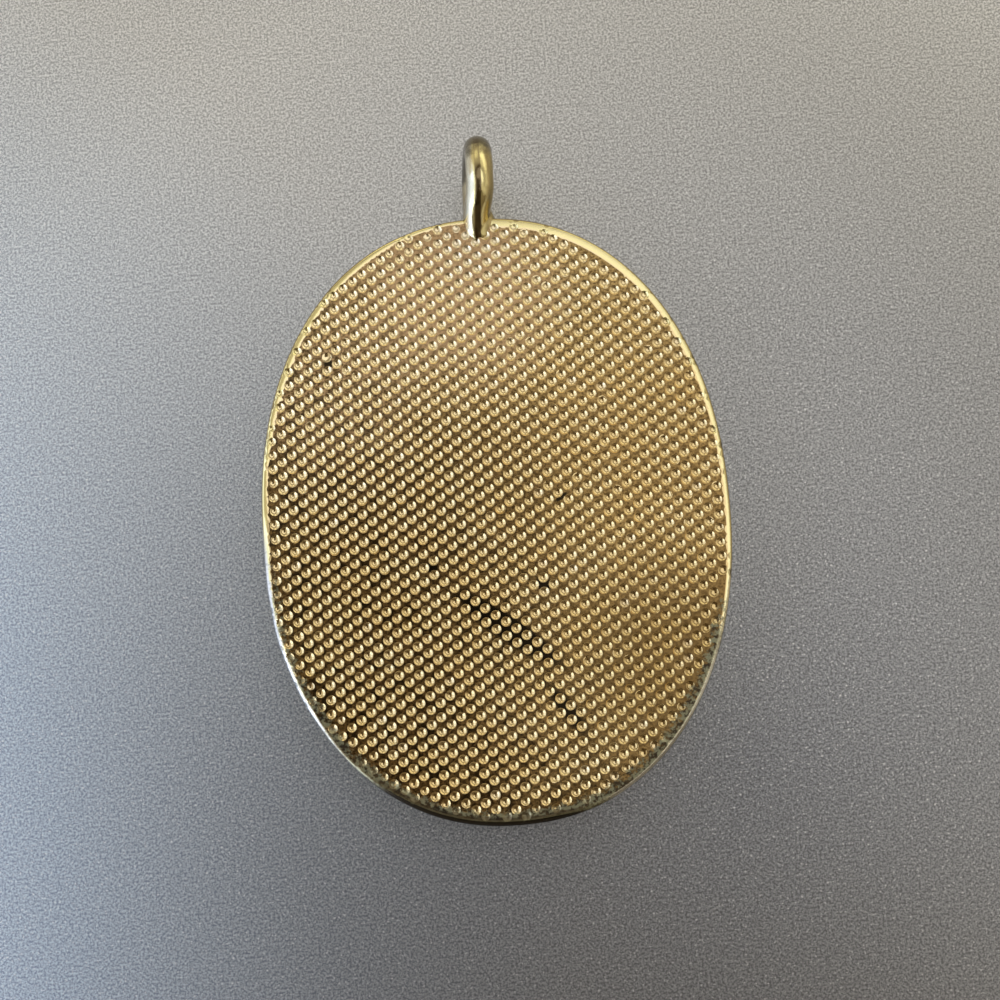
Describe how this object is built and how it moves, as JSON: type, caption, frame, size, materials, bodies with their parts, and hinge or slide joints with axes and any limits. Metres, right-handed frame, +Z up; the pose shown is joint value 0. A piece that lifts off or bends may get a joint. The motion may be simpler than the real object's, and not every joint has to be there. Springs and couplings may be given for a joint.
{
  "type": "stone pendant",
  "caption": "Oval pendant with a cabochon set in a cast gold-tone cup, a back covered in round dimples, and a plain hanging ring at one end.",
  "frame": {"origin": "on the ground, under the middle of the bounding box of the whole pendant, ring included", "axes": "+Z up out of the dimpled back, with the stone facing down; +Y along the oval towards the hanging ring; +X across the oval"},
  "size_m": [0.035, 0.0524, 0.0104],
  "materials": {
    "gold_metal": "cast and gold plated, polished, worn and tarnished in the hollows",
    "green_stone": "polished opaque stone"
  },
  "bodies": {
    "root": {"setting": "gold_metal", "stone": "green_stone"}
  },
  "joints": []
}
